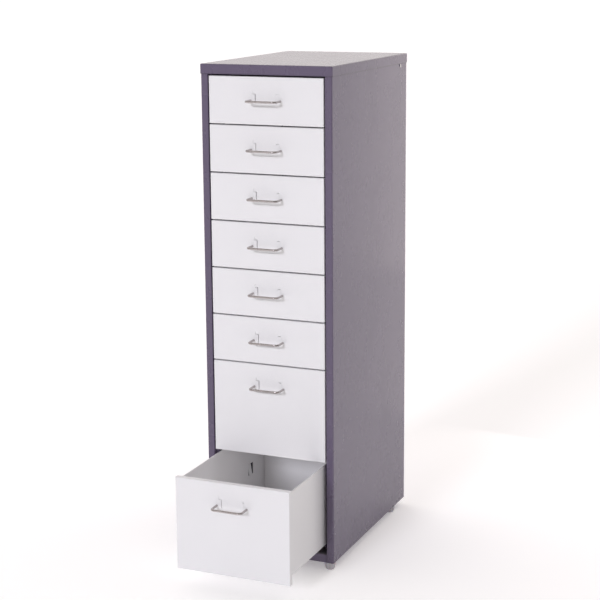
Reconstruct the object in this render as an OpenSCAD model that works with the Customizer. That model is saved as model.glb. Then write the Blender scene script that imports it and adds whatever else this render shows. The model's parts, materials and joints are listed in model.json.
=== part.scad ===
// Narrow sheet-steel drawer cabinet: folded carcass, six single-height and two
// double-height drawers on fixed side runners, wire bow handles, plastic feet.
// Millimetres. +Z up, front of the cabinet towards -Y, X = 0 on the centre line.
// Z = 0 is the floor under the feet. Y = 0 is half-way between the front of the
// open drawer's handle and the back of the cap.

/* [Cabinet] */
// Outer width of the carcass
body_w = 280; // [260:5:320]
// Outer depth of the carcass
body_d = 430; // [380:5:480]
// Height of one drawer unit, centre to centre
pitch = 96.5; // [90:0.5:110]
// Width of the front flange beside the drawers
flange_w = 15; // [13:1:18]
// Height of the frame under the lowest drawer
sill_h = 17; // [15:0.5:24]
// Height of the folded lip of the top cap
cap_lip = 20; // [16:1:26]
// How far the cap stands proud of the carcass
cap_over = 1.1; // [1:0.1:1.5]
// Outer bend radius of the carcass corners
bend_r = 3; // [2:0.5:3]

/* [Drawers] */
// How far the lowest drawer stands open at rest
open_out = 180; // [0:1:300]
// Gap between neighbouring drawer fronts
front_gap = 2.5; // [2:0.5:4]
// Gap between a drawer front and the side flange
side_gap = 2.5; // [2:0.5:4]
// Depth of the folded edge of a drawer front
front_t = 11; // [9:1:14]
// Height of the drawer floor above the lower edge of its front
floor_up = 14; // [13:0.5:18]
// Drop of the drawer rim below the upper edge of its front
rim_down = 5; // [4:0.5:10]
// Distance from the front face to the opening around the stop tab
tab_y = 326; // [300:2:344]
// Height of the opening around the stop tab
tab_h = 26; // [20:1:28]
// How far the stop tab leans out of the drawer wall
tab_out = 3.2; // [2.6:0.1:3.6]

/* [Handles] */
// Distance between the two legs of a handle
leg_gap = 64; // [60:1:80]
// Diameter of the handle wire
wire_d = 4.5; // [4:0.5:5]
// How far a handle stands out from its drawer front
reach = 29; // [24:1:35]
// Bend radius of the handle wire, on its centre line
wire_bend = 7; // [6:0.5:9]
// Distance from the upper edge of a front down to its handle
handle_down = 47; // [40:1:48]

/* [Label holder] */
// Half width of the pressed label field
label_x = 28; // [26:0.5:28]
// Half height of the pressed label field
label_z = 16; // [13:0.5:18]
// Height of the middle of the label field above the handle
label_up = 4; // [0:0.5:6]
// Half height of the two lips that hold the label card
lip_z = 8.5; // [8:0.5:11]

/* [Feet] */
// Visible height of a foot
foot_h = 16; // [12:1:22]
// Upper diameter of a foot
foot_d = 23; // [22:1:25]
// Distance of a foot's centre from the side of the carcass
foot_in = 13; // [13:0.5:16]
// Distance of the rear feet from the back of the carcass
foot_back = 62; // [40:1:120]

/* [Hidden] */
t = 1;                                  // sheet thickness
cap_t = 0.98;                           // sheet thickness of the cap
hx = body_w / 2;                        // half width of the carcass
ox = hx - flange_w;                     // half width of the front opening
line0 = 10 * pitch + sill_h + 1;        // upper edge of the top unit
open_top = line0 + 2;                   // upper edge of the front opening
top_z = open_top + cap_lip;             // upper face of the cap
fx = ox - side_gap;                     // half width of a drawer front
wx = fx - 4;                            // outer face of a drawer wall
runner_x = wx - 4.5;                    // inner edge of a runner
drawer_l = body_d - 11;                 // length of a drawer
back_y = drawer_l - 11.5;               // middle of the sheet that closes a drawer's rear
wire_r = wire_d / 2;
stud_r = 2;                             // radius of a handle's threaded end
label_press = 0.8;                      // depth of the pressed label field
jog = 4.2;                              // inward step of the side panel's lip, which stops the drawers
units = [1, 1, 1, 1, 1, 1, 2, 2];       // height of each drawer in units, from the top
y_mid = (body_d + cap_over - open_out - reach) / 2;
seg = 8;                                // steps in one bend

carcass_colour = [0.38, 0.35, 0.42];
drawer_colour = [0.90, 0.89, 0.91];
chrome_colour = [0.72, 0.70, 0.70];
foot_colour = [0.56, 0.53, 0.57];

// ---- lines between drawers ---------------------------------------------------
function units_above(n) = n <= 1 ? 0 : units[n - 2] + units_above(n - 1);
function upper_z(n) = line0 - pitch * units_above(n) - front_gap / 2;
function lower_z(n) = line0 - pitch * (units_above(n) + units[n - 1]) + front_gap / 2;
function pulled(n) = n == 8 ? open_out : 0;

// ---- bent sheet --------------------------------------------------------------
// Outline of a sheet of thickness w whose centre line runs through the points p
// with the bend radii r (one radius for each inner point).
function unit2(v) = v / norm(v);
function left2(v) = [-v[1], v[0]];
function turned(v, a) = [v[0] * cos(a) - v[1] * sin(a), v[0] * sin(a) + v[1] * cos(a)];
function turn_of(a, b) = atan2(a[0] * b[1] - a[1] * b[0], a[0] * b[0] + a[1] * b[1]);
function samples(p, r) = concat(
    [[p[0], left2(unit2(p[1] - p[0]))]],
    [for (i = [1 : len(p) - 2])
        let (d1 = unit2(p[i] - p[i - 1]), d2 = unit2(p[i + 1] - p[i]), a = turn_of(d1, d2),
             s = a > 0 ? 1 : -1, q = p[i] - d1 * r[i - 1] * tan(abs(a) / 2),
             c = q + left2(d1) * s * r[i - 1])
        for (k = [0 : seg]) let (n = left2(turned(d1, a * k / seg))) [c - n * s * r[i - 1], n]],
    [[p[len(p) - 1], left2(unit2(p[len(p) - 1] - p[len(p) - 2]))]]);
function bent(p, r, w) = let (s = samples(p, r)) concat(
    [for (q = s) q[0] + q[1] * w / 2],
    [for (i = [len(s) - 1 : -1 : 0]) s[i][0] - s[i][1] * w / 2]);
module sheet(p, r, w = t) { polygon(bent(p, r, w)); }

// Outline of a block from (x0, 0) to (x1, d) whose two corners at y = 0 are rounded
module nose(x0, x1, d, r) {
    polygon(concat(
        [for (k = [0 : seg]) [x0 + r - r * cos(90 * k / seg), r - r * sin(90 * k / seg)]],
        [for (k = [0 : seg]) [x1 - r + r * sin(90 * k / seg), r - r * cos(90 * k / seg)]],
        [[x1, d], [x0, d]]));
}

// Extrusions along X and along Y of an outline drawn in (Y, Z) and in (X, Z)
module along_x(x0, x1) { translate([x0, 0, 0]) rotate([90, 0, 90]) linear_extrude(height = x1 - x0) children(); }
module along_y(y0, y1) { translate([0, y1, 0]) rotate([90, 0, 0]) linear_extrude(height = y1 - y0) children(); }
module block(a, b) { translate(a) cube(b - a); }
module place() { translate([0, -y_mid, foot_h]) children(); }
module hex(af, h) { rotate(30) cylinder(h = h, r = af / 2 / cos(30), $fn = 6); }

// ---- carcass -----------------------------------------------------------------
module side_shape() {
    difference() {
        linear_extrude(height = top_z - bend_r - 0.1)
            sheet([[ox + t / 2 - jog, 16], [ox + t / 2 - jog, 13.4], [ox + t / 2, 11.4], [ox + t / 2, t / 2], [hx - t / 2, t / 2],
                   [hx - t / 2, body_d - t / 2], [ox + t / 2, body_d - t / 2]],
                  [0.8, 0.8, 1.2, bend_r - t / 2, bend_r - t / 2]);
        block([ox - jog - 2, t + 0.01, -1], [ox + 3, 17, sill_h + 0.5]);
        block([ox - jog - 2, t + 0.01, open_top - 0.5], [ox + 3, 17, top_z]);
        translate([hx - 5, body_d - 42, open_top - 4.5]) rotate([0, 90, 0]) cylinder(h = 10, r = 2.2, $fn = 40);
    }
}
module side_panel_right() { color(carcass_colour) place() side_shape(); }
module side_panel_left() { color(carcass_colour) place() mirror([1, 0, 0]) side_shape(); }

module back_panel() {
    color(carcass_colour) place()
        block([-hx + bend_r, body_d - 2, t + 0.1], [hx - bend_r, body_d - t - 0.02, top_z - bend_r - 0.1]);
}

// The cap's outline with all its edges rounded, drawn in by g on every side but the lower one
module cap_block(g, r) {
    w = hx + cap_over - g;
    drop = cap_lip + (g > 0 ? 5 : 0);
    intersection() {
        along_y(-cap_over + g, body_d + cap_over - g)
            translate([0, top_z - g]) mirror([0, 1]) nose(-w, w, drop, r);
        along_x(-w, w)
            translate([0, top_z - g]) mirror([0, 1]) nose(-cap_over + g, body_d + cap_over - g, drop, r);
        translate([0, 0, top_z - g - drop]) linear_extrude(height = drop) union() {
            square_between(-w, r - cap_over + g, w, body_d + cap_over - g - r);
            square_between(r - w, -cap_over + g, w - r, body_d + cap_over - g);
            for (x = [r - w, w - r], y = [r - cap_over + g, body_d + cap_over - g - r]) translate([x, y]) circle(r = r, $fn = 32);
        }
    }
}
module square_between(x0, y0, x1, y1) { translate([x0, y0]) square([x1 - x0, y1 - y0]); }
module top_cap() {
    color(carcass_colour) place() difference() {
        cap_block(0, bend_r);
        cap_block(cap_t, bend_r - cap_t);
    }
}

module base_panel() {
    color(carcass_colour) place() difference() {
        union() {
            along_x(-ox + 0.1, ox - 0.1)
                sheet([[10, sill_h - t / 2], [t / 2, sill_h - t / 2], [t / 2, t / 2], [40, t / 2]], [1.2, 1.5]);
            linear_extrude(height = t) polygon([
                [-hx + 3.3, t + 0.1], [hx - 3.3, t + 0.1], [hx - t - 0.1, 3.3], [hx - t - 0.1, body_d - 4.4], [hx - 3.3, body_d - 2.1],
                [-hx + 3.3, body_d - 2.1], [-hx + t + 0.1, body_d - 4.4], [-hx + t + 0.1, 3.3]]);
            for (s = [-1, 1]) translate([s * (hx - 1.6), body_d / 2, 7.5]) cube([t, body_d - 70, 15], center = true);
            block([-hx + 20, body_d - 3.1, 0], [hx - 20, body_d - 2.1, 15]);
        }
        for (x = [-1, 1], y = [foot_in, body_d - foot_back])
            translate([x * (hx - foot_in), y, -1]) cylinder(h = 4, r = 4.2, $fn = 48);
    }
}

module front_rail_top() {
    color(carcass_colour) place() along_x(-ox + 0.1, ox - 0.1)
        sheet([[15, open_top + t / 2], [t / 2, open_top + t / 2], [t / 2, top_z - 1.7], [15, top_z - 1.7]], [1.2, 1.2]);
}

module rear_tie() {
    color(carcass_colour) place() difference() {
        along_y(body_d - 57, body_d - 27)
            sheet([[-hx + 1.6, open_top - 11], [-hx + 1.6, top_z - 1.7], [hx - 1.6, top_z - 1.7], [hx - 1.6, open_top - 11]], [2, 2]);
        translate([-hx - 5, body_d - 42, open_top - 4.5]) rotate([0, 90, 0]) cylinder(h = body_w + 10, r = 2.1, $fn = 40);
    }
}

module runner(n) {
    z = lower_z(n) - front_gap / 2;
    along_y(18, body_d - 14)
        sheet([[hx - t - 0.5, z + 2.5], [hx - t - 0.5, z + floor_up + 0.45], [runner_x + 0.5, z + floor_up + 0.45], [runner_x + 0.5, z + 4.5]], [1.2, 1.2]);
}
module runners_right() { color(carcass_colour) place() for (n = [1 : 8]) runner(n); }
module runners_left() { color(carcass_colour) place() mirror([1, 0, 0]) for (n = [1 : 8]) runner(n); }

module foot(x, y) {
    r1 = foot_d / 2;
    color(foot_colour) place() translate([x * (hx - foot_in), y, 0]) difference() {
        rotate_extrude($fn = 64) polygon([
            [0, 10], [3.4, 10], [4, 9.2], [4, 0], [r1 - 0.9, 0], [r1 - 0.4, -0.8], [r1, -0.2 * foot_h], [r1 - 0.1, -0.42 * foot_h],
            [r1 - 0.9, -0.68 * foot_h], [r1 - 2, -foot_h + 1.6], [r1 - 3.2, -foot_h], [5.4, -foot_h], [4.8, -foot_h + 4], [0, -foot_h + 4]]);
        // finger flutes around the foot
        for (a = [0 : 36 : 324]) rotate(a) translate([r1 + 1.4, 0, -3.5]) rotate([0, 187, 0]) cylinder(h = foot_h, r = 2.5, $fn = 32);
    }
}
module foot_front_left() { foot(-1, foot_in); }
module foot_front_right() { foot(1, foot_in); }
module foot_rear_left() { foot(-1, body_d - foot_back); }
module foot_rear_right() { foot(1, body_d - foot_back); }

module foot_nuts() {
    color("silver") place() for (x = [-1, 1], y = [foot_in, body_d - foot_back])
        translate([x * (hx - foot_in), y, t]) difference() {
            hex(13, 6.5);
            translate([0, 0, -1]) cylinder(h = 9, r = 4, $fn = 48);
        }
}

module side_screws() {
    color("silver") place() for (s = [0, 1]) mirror([s, 0, 0])
        translate([hx, body_d - 42, open_top - 4.5]) rotate([0, 90, 0]) difference() {
            union() {
                cylinder(h = cap_over, r = 3.3, $fn = 48);
                translate([0, 0, -7]) cylinder(h = 7.1, r = 2, $fn = 40);
            }
            for (a = [0, 90]) rotate(a) translate([-1.9, -0.4, 0.45]) cube([3.8, 0.8, 2]);
        }
}

// ---- drawers -----------------------------------------------------------------
module pan(z0, z1, g, r) {
    intersection() {
        translate([0, g, z0 + g]) linear_extrude(height = z1 - z0 - 2 * g) nose(-fx + g, fx - g, front_t + g, r);
        along_x(-fx, fx) translate([g, 0]) rotate(-90) mirror([1, 0]) nose(z0 + g, z1 - g, front_t + g, r);
    }
}
module rounded(x, z, r, y0, y1) {
    along_y(y0, y1) union() {
        square([2 * x, 2 * (z - r)], center = true);
        square([2 * (x - r), 2 * z], center = true);
        for (i = [-1, 1], j = [-1, 1]) translate([i * (x - r), j * (z - r)]) circle(r = r, $fn = 32);
    }
}

module label_lip() {
    // A tongue of the front sheet, pushed forward so that a card slides in behind it
    translate([0, 0, -lip_z]) linear_extrude(height = 2 * lip_z)
        polygon([[label_x - 6, -0.4], [label_x - 5.6, -0.5], [label_x + 0.4, -0.1], [label_x + 0.6, 0.2], [label_x + 0.6, 0.6],
                 [label_x - 0.4, 0.6], [label_x - 6, 0.2]]);
}

module drawer_front(n) {
    z0 = lower_z(n);
    z1 = upper_z(n);
    zh = z1 - handle_down;
    color(drawer_colour) place() translate([0, -pulled(n), 0]) {
        difference() {
            union() {
                difference() {
                    intersection() { pan(z0, z1, 0, 1.6); block([-200, 0, 0], [200, front_t, 2000]); }
                    pan(z0, z1, t, 0.6);
                }
                // inner side of the pressed label field
                translate([0, 0, zh + label_up]) rounded(label_x - 0.4, label_z - 0.4, 2.6, 0.5, t + label_press);
                // lips turned in from the folded edges to the drawer walls
                for (s = [-1, 1]) translate([s * (wx + fx - 0.5) / 2, front_t - t / 2, (z0 + z1) / 2])
                    cube([fx - 0.5 - wx, t, z1 - z0 - 5], center = true);
            }
            // pressed label field
            translate([0, 0, zh + label_up]) rounded(label_x, label_z, 3, -1, label_press);
            // slits beside and behind the two lips of the label field
            for (s = [-1, 1]) translate([s * (label_x - 3.5), 0.5, zh + label_up]) cube([6, 6, 2 * lip_z + 0.8], center = true);
            // holes for the threaded ends of the handle
            for (s = [-1, 1]) translate([s * leg_gap / 2, 5, zh]) rotate([90, 0, 0]) cylinder(h = 10, r = stud_r + 0.15, $fn = 40);
        }
        for (s = [0, 1]) mirror([s, 0, 0]) translate([0, 0, zh + label_up]) label_lip();
    }
}

module wall_tab(z0, z1) {
    zc = (z0 + z1) / 2;
    along_y(tab_y + 5, tab_y + 19)
        polygon([[wx - t, zc - tab_h / 2 - 0.6], [wx, zc - tab_h / 2 - 0.6], [wx + tab_out, zc + tab_h / 2 - 3.4], [wx + tab_out - t, zc + tab_h / 2 - 3.4]]);
}
module drawer_tub(n) {
    z0 = lower_z(n) + floor_up;
    z1 = upper_z(n) - rim_down;
    zc = (z0 + z1) / 2;
    color(drawer_colour) place() translate([0, -pulled(n), 0]) {
        difference() {
            along_y(t, drawer_l)
                sheet([[-wx + 2.5, z1 - 9], [-wx + 2.5, z1 - 0.5], [-wx + 0.5, z1 - 0.5], [-wx + 0.5, z0 + 0.5],
                       [wx - 0.5, z0 + 0.5], [wx - 0.5, z1 - 0.5], [wx - 2.5, z1 - 0.5], [wx - 2.5, z1 - 9]],
                      [0.9, 0.9, 2, 2, 0.9, 0.9]);
            // the folded rim stops short of the drawer's back
            block([-wx + 1.02, back_y - 4, z1 - 9.5], [wx - 1.02, drawer_l + 1, z1 + 1]);
            // slits around the stop tabs
            block([-wx - 2, tab_y, zc - tab_h / 2], [wx + 2, tab_y + 24, zc + tab_h / 2]);
        }
        wall_tab(z0, z1);
        mirror([1, 0, 0]) wall_tab(z0, z1);
    }
}

module drawer_back(n) {
    z0 = lower_z(n) + floor_up + t;
    z1 = upper_z(n) - rim_down;
    color(drawer_colour) place() translate([0, -pulled(n), 0]) {
        difference() {
            translate([0, 0, z0]) linear_extrude(height = z1 - z0 - 10)
                sheet([[-wx + 1.5, drawer_l - 0.5], [-wx + 1.5, back_y], [wx - 1.5, back_y], [wx - 1.5, drawer_l - 0.5]], [1.7, 1.7]);
            // the lower corners clear the bend between the drawer's floor and its walls
            for (s = [-1, 1]) translate([s * (wx - 1.8), drawer_l - 5, z0]) cube([1.7, 14, 3.2], center = true);
        }
        along_x(-wx + 3.4, wx - 3.4)
            sheet([[back_y + 2, z1 - 9], [back_y + 2, z1 - 0.7], [back_y, z1 - 0.7], [back_y, z1 - 14]], [0.9, 0.9]);
    }
}

module drawer_handle(n) {
    z = upper_z(n) - handle_down;
    yb = -reach + wire_r;
    color(chrome_colour) place() translate([0, -pulled(n), z]) {
        for (s = [-1, 1]) {
            translate([s * leg_gap / 2, 0, 0]) rotate([90, 0, 0]) cylinder(h = -yb - wire_bend, r = wire_r, $fn = 40);
            translate([s * leg_gap / 2, 6, 0]) rotate([90, 0, 0]) cylinder(h = 6.5, r = stud_r, $fn = 40);
            mirror([s < 0 ? 1 : 0, 0, 0]) translate([leg_gap / 2 - wire_bend, yb + wire_bend, 0]) rotate([0, 0, -90])
                rotate_extrude(angle = 90, $fn = 64) translate([wire_bend, 0]) circle(r = wire_r, $fn = 40);
        }
        translate([-leg_gap / 2 + wire_bend, yb, 0]) rotate([0, 90, 0]) cylinder(h = leg_gap - 2 * wire_bend, r = wire_r, $fn = 40);
    }
}

module drawer_handle_nuts(n) {
    color("silver") place() translate([0, -pulled(n), upper_z(n) - handle_down])
        for (s = [-1, 1]) translate([s * leg_gap / 2, 4.2, 0]) rotate([90, 0, 0]) difference() {
            hex(7, 3.2);
            translate([0, 0, -1]) cylinder(h = 6, r = stud_r, $fn = 40);
        }
}

side_panel_left();
side_panel_right();
back_panel();
top_cap();
base_panel();
front_rail_top();
rear_tie();
runners_left();
runners_right();
foot_front_left();
foot_front_right();
foot_rear_left();
foot_rear_right();
foot_nuts();
side_screws();
drawer_front(1);  // drawer_1_front
drawer_tub(1);  // drawer_1_tub
drawer_back(1);  // drawer_1_back
drawer_handle(1);  // drawer_1_handle
drawer_handle_nuts(1);  // drawer_1_handle_nuts
drawer_front(2);  // drawer_2_front
drawer_tub(2);  // drawer_2_tub
drawer_back(2);  // drawer_2_back
drawer_handle(2);  // drawer_2_handle
drawer_handle_nuts(2);  // drawer_2_handle_nuts
drawer_front(3);  // drawer_3_front
drawer_tub(3);  // drawer_3_tub
drawer_back(3);  // drawer_3_back
drawer_handle(3);  // drawer_3_handle
drawer_handle_nuts(3);  // drawer_3_handle_nuts
drawer_front(4);  // drawer_4_front
drawer_tub(4);  // drawer_4_tub
drawer_back(4);  // drawer_4_back
drawer_handle(4);  // drawer_4_handle
drawer_handle_nuts(4);  // drawer_4_handle_nuts
drawer_front(5);  // drawer_5_front
drawer_tub(5);  // drawer_5_tub
drawer_back(5);  // drawer_5_back
drawer_handle(5);  // drawer_5_handle
drawer_handle_nuts(5);  // drawer_5_handle_nuts
drawer_front(6);  // drawer_6_front
drawer_tub(6);  // drawer_6_tub
drawer_back(6);  // drawer_6_back
drawer_handle(6);  // drawer_6_handle
drawer_handle_nuts(6);  // drawer_6_handle_nuts
drawer_front(7);  // drawer_7_front
drawer_tub(7);  // drawer_7_tub
drawer_back(7);  // drawer_7_back
drawer_handle(7);  // drawer_7_handle
drawer_handle_nuts(7);  // drawer_7_handle_nuts
drawer_front(8);  // drawer_8_front
drawer_tub(8);  // drawer_8_tub
drawer_back(8);  // drawer_8_back
drawer_handle(8);  // drawer_8_handle
drawer_handle_nuts(8);  // drawer_8_handle_nuts
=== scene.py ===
"""Looks of a narrow sheet-steel drawer cabinet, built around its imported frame."""

import json
import math

import bpy
from mathutils import Matrix, Vector


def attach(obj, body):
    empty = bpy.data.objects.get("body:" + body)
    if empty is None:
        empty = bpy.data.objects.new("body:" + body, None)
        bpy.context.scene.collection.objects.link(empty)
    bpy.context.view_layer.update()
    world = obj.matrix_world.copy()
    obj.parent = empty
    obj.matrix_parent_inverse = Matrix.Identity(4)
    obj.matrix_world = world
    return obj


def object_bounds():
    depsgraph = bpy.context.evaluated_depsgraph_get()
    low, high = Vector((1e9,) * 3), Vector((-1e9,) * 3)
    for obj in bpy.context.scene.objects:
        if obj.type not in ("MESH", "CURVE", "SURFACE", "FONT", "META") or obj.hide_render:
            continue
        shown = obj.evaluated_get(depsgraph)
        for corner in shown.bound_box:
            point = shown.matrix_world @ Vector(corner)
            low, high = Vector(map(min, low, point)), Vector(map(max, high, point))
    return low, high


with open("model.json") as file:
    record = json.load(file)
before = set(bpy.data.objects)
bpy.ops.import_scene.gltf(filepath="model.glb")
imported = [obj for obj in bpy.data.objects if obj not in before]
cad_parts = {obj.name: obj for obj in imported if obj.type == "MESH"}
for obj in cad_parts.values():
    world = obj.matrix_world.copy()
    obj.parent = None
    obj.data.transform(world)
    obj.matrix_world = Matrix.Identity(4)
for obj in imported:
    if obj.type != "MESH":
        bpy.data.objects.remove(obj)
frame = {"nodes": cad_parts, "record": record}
cad_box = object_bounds()
scene = bpy.context.scene
nodes = frame["nodes"]

# ---------------------------------------------------------------- camera
# Focal length and principal point in pixels of a 600 x 600 frame.
FOCAL, CX, CY = 1533.0, 300.0, 262.0
CAM_AT = (1.2430, -2.8304, 1.2243)
YAW, PITCH, ROLL = math.radians(23.317), math.radians(11.230), math.radians(-0.446)


def make_camera():
    data = bpy.data.cameras.new("camera")
    data.sensor_fit = "HORIZONTAL"
    data.sensor_width = 36.0
    data.lens = FOCAL * 36.0 / 600.0
    data.shift_x = (300.0 - CX) / 600.0
    data.shift_y = (CY - 300.0) / 600.0
    data.clip_start, data.clip_end = 0.05, 400.0
    cam = bpy.data.objects.new("camera", data)
    forward = Vector((-math.sin(YAW) * math.cos(PITCH), math.cos(YAW) * math.cos(PITCH), -math.sin(PITCH)))
    right = Vector((math.cos(YAW), math.sin(YAW), 0.0))
    up = right.cross(forward)
    c, s = math.cos(ROLL), math.sin(ROLL)
    r2, u2 = right * c + up * s, up * c - right * s
    m = Matrix((r2, u2, -forward)).transposed().to_4x4()
    m.translation = Vector(CAM_AT)
    cam.matrix_world = m
    scene.collection.objects.link(cam)
    scene.camera = cam


make_camera()


# ---------------------------------------------------------------- node helpers
class Net:
    """A material's node tree, with short calls to add and join nodes."""

    def __init__(self, name):
        self.mat = bpy.data.materials.new(name)
        self.mat.use_nodes = True
        self.t = self.mat.node_tree
        self.t.nodes.clear()
        self.out = self.t.nodes.new("ShaderNodeOutputMaterial")
        self.bsdf = self.t.nodes.new("ShaderNodeBsdfPrincipled")
        self.t.links.new(self.bsdf.outputs[0], self.out.inputs["Surface"])
        self.coord = self.t.nodes.new("ShaderNodeTexCoord").outputs["Object"]

    def join(self, a, b):
        self.t.links.new(a, b)

    def noise(self, scale, detail=2.0, rough=0.5, stretch=None):
        v = self.coord
        if stretch is not None:
            m = self.t.nodes.new("ShaderNodeMapping")
            m.inputs["Scale"].default_value = stretch
            self.join(v, m.inputs["Vector"])
            v = m.outputs[0]
        n = self.t.nodes.new("ShaderNodeTexNoise")
        n.inputs["Scale"].default_value = scale
        n.inputs["Detail"].default_value = detail
        n.inputs["Roughness"].default_value = rough
        self.join(v, n.inputs["Vector"])
        return n.outputs["Fac"]

    def voronoi(self, scale, feature="F1"):
        n = self.t.nodes.new("ShaderNodeTexVoronoi")
        n.feature = feature
        n.inputs["Scale"].default_value = scale
        self.join(self.coord, n.inputs["Vector"])
        return n.outputs["Distance"]

    def ramp(self, fac, lo, hi, a, b):
        """Maps fac from lo..hi to a..b, kept between them."""
        n = self.t.nodes.new("ShaderNodeMapRange")
        n.inputs["From Min"].default_value, n.inputs["From Max"].default_value = lo, hi
        n.inputs["To Min"].default_value, n.inputs["To Max"].default_value = a, b
        self.join(fac, n.inputs["Value"])
        return n.outputs[0]

    def math(self, op, a, b=None, c=None):
        n = self.t.nodes.new("ShaderNodeMath")
        n.operation = op
        for i, x in enumerate((a, b, c)):
            if x is None:
                continue
            if isinstance(x, (int, float)):
                n.inputs[i].default_value = x
            else:
                self.join(x, n.inputs[i])
        return n.outputs[0]

    def mix(self, fac, a, b):
        n = self.t.nodes.new("ShaderNodeMix")
        n.data_type = "RGBA"
        for name, x in (("Factor", fac), ("A", a), ("B", b)):
            s = [i for i in n.inputs if i.name == name and i.type == ("VALUE" if name == "Factor" else "RGBA")][0]
            if isinstance(x, (int, float)):
                s.default_value = x
            elif isinstance(x, tuple):
                s.default_value = (*x[:3], 1.0)
            else:
                self.join(x, s)
        return [o for o in n.outputs if o.type == "RGBA"][0]

    def bump(self, height, strength, distance, normal=None):
        n = self.t.nodes.new("ShaderNodeBump")
        n.inputs["Strength"].default_value = strength
        n.inputs["Distance"].default_value = distance
        self.join(height, n.inputs["Height"])
        if normal is not None:
            self.join(normal, n.inputs["Normal"])
        return n.outputs[0]

    def along(self, axis):
        """The object coordinate along X, Y or Z."""
        s = self.t.nodes.new("ShaderNodeSeparateXYZ")
        self.join(self.coord, s.inputs[0])
        return s.outputs[axis]

    def up_facing(self):
        g = self.t.nodes.new("ShaderNodeNewGeometry")
        s = self.t.nodes.new("ShaderNodeSeparateXYZ")
        self.join(g.outputs["Normal"], s.inputs[0])
        return s.outputs["Z"]

    def set(self, **values):
        names = {"color": "Base Color", "rough": "Roughness", "metal": "Metallic", "normal": "Normal", "ior": "IOR",
                 "coat": "Coat Weight", "coat_rough": "Coat Roughness", "spec": "Specular IOR Level",
                 "sss": "Subsurface Weight", "sss_scale": "Subsurface Scale", "trans": "Transmission Weight"}
        for k, x in values.items():
            s = self.bsdf.inputs[names[k]]
            if isinstance(x, (int, float)):
                s.default_value = x
            elif isinstance(x, tuple):
                s.default_value = (*x[:3], 1.0)
            else:
                self.join(x, s)
        return self.mat


def powder_coat(name, base, shade, dust, rough, orange=0.10, specks=0.10, settled=0.42, seam_shade_z=None):
    """Sprayed and baked powder: fine orange peel, cloudy film thickness, a little dust where it faces up.
    The optional seam height is where a sheet's edge ends; the paint there gets a thin band of painted shade, broken up
    by noise."""
    n = Net(name)
    peel = n.noise(620.0, 2.0, 0.55)
    grit = n.noise(2600.0, 1.0, 0.5)
    cloud = n.noise(5.5, 3.0, 0.55)
    streak = n.noise(3.0, 4.0, 0.6, stretch=(9.0, 9.0, 0.8))
    body = n.mix(n.ramp(cloud, 0.32, 0.68, 0.0, 1.0), base, shade)
    body = n.mix(n.ramp(grit, 0.60, 0.74, 0.0, 0.10), body, tuple(min(1.0, c * 1.35 + 0.02) for c in base))
    speck = n.ramp(n.voronoi(330.0), 0.035, 0.065, specks, 0.0)
    body = n.mix(speck, body, tuple(c * 0.55 for c in base))
    # Painted shade: a thin dark band along the seam height under the top cap's lip, broken up by noise.
    if seam_shade_z is not None:
        off = n.math("ABSOLUTE", n.math("SUBTRACT", n.along("Z"), seam_shade_z))
        line = n.math("MULTIPLY", n.ramp(off, 0.0005, 0.0022, 0.55, 0.0), n.ramp(n.noise(40.0, 3.0, 0.6), 0.3, 0.6, 0.7, 1.0))
        body = n.mix(line, body, tuple(c * 0.35 for c in base))
    lift = n.math("MULTIPLY", n.ramp(n.up_facing(), 0.55, 0.98, 0.0, 1.0), n.ramp(n.noise(26.0, 3.0, 0.6), 0.35, 0.70, settled * 0.78, settled))
    color = n.mix(lift, body, dust)
    r = n.math("ADD", n.ramp(n.noise(14.0, 4.0, 0.6), 0.3, 0.7, rough - 0.012, rough + 0.012), n.ramp(streak, 0.45, 0.75, 0.0, 0.012))
    height = n.math("ADD", n.math("MULTIPLY", peel, 0.75), n.math("MULTIPLY", grit, 0.25))
    return n.set(color=color, rough=r, metal=0.0, spec=0.5, normal=n.bump(height, orange, 0.0006))


def plated(name, base, dark, rough, brushed=(1.0, 1.0, 1.0), wear=0.3):
    """Bright plating with hair lines, faint haze and small dull spots."""
    n = Net(name)
    hair = n.noise(900.0, 3.0, 0.6, stretch=brushed)
    haze = n.noise(60.0, 4.0, 0.6)
    spots = n.ramp(n.voronoi(420.0), 0.05, 0.14, wear, 0.0)
    color = n.mix(n.ramp(haze, 0.35, 0.7, 0.0, 0.55), base, dark)
    color = n.mix(spots, color, tuple(c * 0.6 for c in dark))
    r = n.math("ADD", n.ramp(haze, 0.3, 0.7, rough - 0.03, rough + 0.06), n.math("MULTIPLY", spots, 0.25))
    return n.set(color=color, metal=1.0, rough=r, normal=n.bump(hair, 0.06, 0.0002))


def moulded(name, base, pale, rough):
    """Grey moulded plastic, slightly clear, with a spark-eroded grain and scuffs low down."""
    n = Net(name)
    grain = n.noise(1500.0, 2.0, 0.6)
    flow = n.noise(45.0, 3.0, 0.5, stretch=(1.0, 1.0, 0.35))
    color = n.mix(n.ramp(flow, 0.35, 0.7, 0.0, 1.0), base, pale)
    scuff = n.ramp(n.noise(160.0, 5.0, 0.7), 0.56, 0.68, 0.0, 0.35)
    color = n.mix(scuff, color, tuple(min(1.0, c * 1.5 + 0.03) for c in pale))
    r = n.ramp(n.noise(90.0, 3.0, 0.6), 0.3, 0.7, rough - 0.06, rough + 0.1)
    return n.set(color=color, rough=r, sss=0.25, sss_scale=0.004, normal=n.bump(grain, 0.12, 0.0003))


# The top cap's lower edge; the carcass paint carries a thin painted shade line along it.
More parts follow.
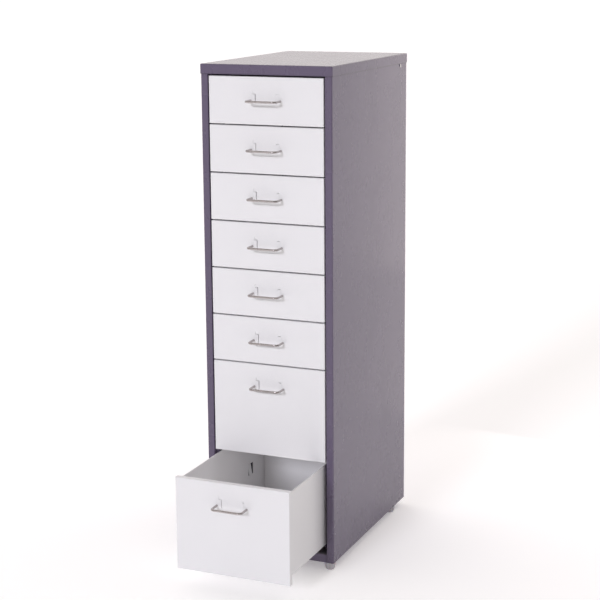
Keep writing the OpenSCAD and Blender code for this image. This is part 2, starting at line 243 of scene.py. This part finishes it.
SEAM_SHADE_Z = cad_box[1][2] - 0.020
CARCASS = powder_coat("carcass_paint", (0.117, 0.091, 0.150), (0.111, 0.086, 0.143), (0.44, 0.425, 0.42), 0.27, 0.06, 0.02, 0.46,
                      seam_shade_z=SEAM_SHADE_Z)
DRAWER = powder_coat("drawer_paint", (0.810, 0.804, 0.818), (0.798, 0.790, 0.803), (0.79, 0.77, 0.77), 0.33, 0.09, 0.07, 0.30)
CHROME = plated("handle_chrome", (0.48, 0.44, 0.43), (0.335, 0.31, 0.30), 0.21, (0.15, 1.0, 1.0), 0.2)
ZINC = plated("zinc_steel", (0.62, 0.62, 0.60), (0.40, 0.40, 0.38), 0.30, (1.0, 1.0, 0.2), 0.4)
FOOT = moulded("foot_plastic", (0.50, 0.485, 0.52), (0.56, 0.545, 0.575), 0.34)
MATERIALS = {"carcass_paint": CARCASS, "drawer_paint": DRAWER, "handle_chrome": CHROME, "zinc_steel": ZINC,
             "foot_plastic": FOOT}

slot_of = {s["node"]: s["material_slot"] for s in frame["record"]["subparts"]}
for name, obj in nodes.items():
    mat = MATERIALS[slot_of[name]]
    if not obj.material_slots:
        obj.data.materials.append(mat)
    for s in obj.material_slots:
        s.material = mat


# ---------------------------------------------------------------- edges of the sheet metal
def soften(obj, width, segments=2, angle=35.0):
    """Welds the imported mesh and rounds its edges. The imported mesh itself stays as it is."""
    w = obj.modifiers.new("weld", "WELD")
    w.merge_threshold = 0.00002
    b = obj.modifiers.new("bevel", "BEVEL")
    b.width = width
    b.segments = segments
    b.limit_method = "ANGLE"
    b.angle_limit = math.radians(angle)
    b.harden_normals = True
    b.use_clamp_overlap = True
    b.miter_outer = "MITER_ARC"


for name, obj in nodes.items():
    if slot_of[name] in ("carcass_paint", "drawer_paint"):
        soften(obj, 0.0003)
    elif slot_of[name] == "zinc_steel":
        soften(obj, 0.0002)

# ---------------------------------------------------------------- floor, light
def soft_sun(name, toward, strength, spread, color=(1, 1, 1)):
    """A broad, far softbox: toward is the direction that it lies in, seen from the cabinet."""
    data = bpy.data.lights.new(name, "SUN")
    data.energy = strength
    data.angle = math.radians(spread)
    data.color = color
    obj = bpy.data.objects.new(name, data)
    obj.rotation_mode = "QUATERNION"
    obj.rotation_quaternion = (-Vector(toward)).to_track_quat("-Z", "Y")
    scene.collection.objects.link(obj)
    return obj


def panel_light(name, at, to, size, size_y, power, color=(1, 1, 1)):
    """A near softbox."""
    data = bpy.data.lights.new(name, "AREA")
    data.shape = "RECTANGLE"
    data.size, data.size_y = size, size_y
    data.energy = power
    data.color = color
    obj = bpy.data.objects.new(name, data)
    obj.location = at
    obj.visible_camera = False
    obj.rotation_mode = "QUATERNION"
    obj.rotation_quaternion = (Vector(to) - Vector(at)).to_track_quat("-Z", "Y")
    scene.collection.objects.link(obj)
    return obj


FLOOR_GLOW = 0.30


def make_floor():
    mesh = bpy.data.meshes.new("floor")
    s = 150.0
    mesh.from_pydata([(-s, -s, 0), (s, -s, 0), (s, s, 0), (-s, s, 0)], [], [(0, 1, 2, 3)])
    obj = bpy.data.objects.new("floor", mesh)
    scene.collection.objects.link(obj)
    n = Net("floor_paint")
    c = n.mix(n.ramp(n.noise(0.7, 3.0, 0.5), 0.3, 0.7, 0.0, 1.0), (0.94, 0.94, 0.94), (0.93, 0.93, 0.93))
    n.bsdf.inputs["Emission Color"].default_value = (1.0, 0.97, 0.965, 1.0)
    n.bsdf.inputs["Emission Strength"].default_value = FLOOR_GLOW
    obj.data.materials.append(n.set(color=c, rough=0.9, spec=0.1))


make_floor()
world = bpy.data.worlds.new("studio")
scene.world = world
world.use_nodes = True
tree = world.node_tree
bg = tree.nodes["Background"]
# A bright backdrop above and behind the cabinet, and a dimmer room in front of it
BACKDROP = Vector((-0.28, 0.76, 0.60)).normalized()
way = tree.nodes.new("ShaderNodeTexCoord")
along = tree.nodes.new("ShaderNodeVectorMath")
along.operation = "DOT_PRODUCT"
along.inputs[1].default_value = BACKDROP
glow = tree.nodes.new("ShaderNodeMapRange")
glow.interpolation_type = "SMOOTHSTEP"
glow.inputs["From Min"].default_value, glow.inputs["From Max"].default_value = -0.10, 0.90
glow.inputs["To Min"].default_value, glow.inputs["To Max"].default_value = 0.04, 1.20
tree.links.new(way.outputs["Generated"], along.inputs[0])
tree.links.new(along.outputs["Value"], glow.inputs["Value"])
tree.links.new(glow.outputs[0], bg.inputs[1])
bg.inputs[0].default_value = (1.0, 0.952, 0.937, 1.0)
soft_sun("key", (-0.125, -0.93, 0.345), 1.26, 13.0, (0.975, 0.98, 1.06))
soft_sun("fill_left", (-0.50, -0.75, 0.42), 0.16, 34.0, (1.0, 0.995, 1.0))
soft_sun("fill_right", (0.60, -0.72, 0.34), 0.12, 24.0, (1.0, 0.98, 0.95))
inner = panel_light("bounce_in_drawer", (0.10, -0.19, 0.165), (-0.2, -0.19, 0.165), 0.20, 0.09, 0.12, (1.0, 0.96, 0.95))
inner.visible_glossy = False
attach(inner, "drawer_8")
# Two upright softboxes close behind the right side, which the side panel mirrors towards its rear edge
panel_light("side_upper", (0.29, 0.90, 0.86), (0.14, -0.10, 0.86), 0.30, 0.88, 0.50, (1.0, 0.88, 0.86))
panel_light("side_lower", (0.29, 0.90, 0.22), (0.14, -0.10, 0.22), 0.30, 0.40, 0.110, (1.0, 0.88, 0.86))

scene.view_settings.view_transform = "Standard"
scene.view_settings.look = "None"
scene.view_settings.exposure = 0.0
scene.view_settings.gamma = 1.0
